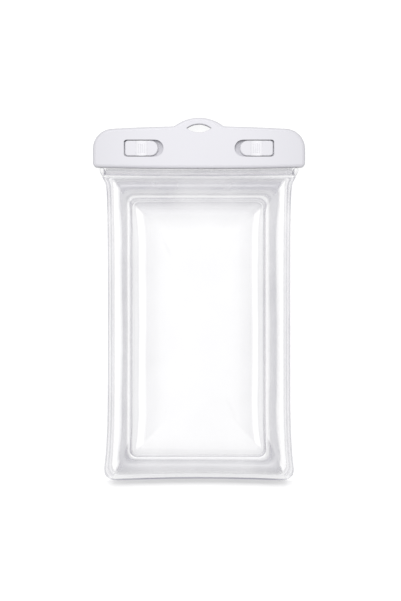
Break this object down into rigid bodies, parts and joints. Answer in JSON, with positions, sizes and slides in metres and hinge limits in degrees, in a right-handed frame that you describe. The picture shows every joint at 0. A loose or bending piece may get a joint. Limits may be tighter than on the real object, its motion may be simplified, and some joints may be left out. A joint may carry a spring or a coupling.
{
  "type": "waterproof phone pouch",
  "caption": "Clear waterproof phone pouch with an air cushion frame round its window and a white locking clip.",
  "frame": {"origin": "middle of the bounding box's bottom face: the pouch lies on its back", "axes": "+Z towards the front of the pouch, +Y towards the lanyard eye, +X to the right seen from the front"},
  "size_m": [0.127, 0.218, 0.015],
  "materials": {
    "clip": "white moulded plastic, satin",
    "lock": "white moulded plastic, smooth satin",
    "gasket": "pale grey silicone, matte",
    "film": "clear flexible film, glossy",
    "strip": "misty flexible film, satin"
  },
  "bodies": {
    "pouch": {"front_shell": "clip", "back_shell": "clip", "front_jaw": "clip", "back_jaw": "clip", "front_gasket": "gasket", "back_gasket": "gasket", "front_film": "film", "cushion_film": "film", "back_film": "film", "front_mouth_strip": "strip", "back_mouth_strip": "strip"},
    "left_slider": {"left_lock": "lock"},
    "right_slider": {"right_lock": "lock"}
  },
  "joints": [
    {"name": "left_lock_slide", "type": "slide", "parent": "pouch", "child": "left_slider", "axis": [1, 0, 0], "range_m": [0, 0.0026]},
    {"name": "right_lock_slide", "type": "slide", "parent": "pouch", "child": "right_slider", "axis": [-1, 0, 0], "range_m": [0, 0.0026]}
  ]
}
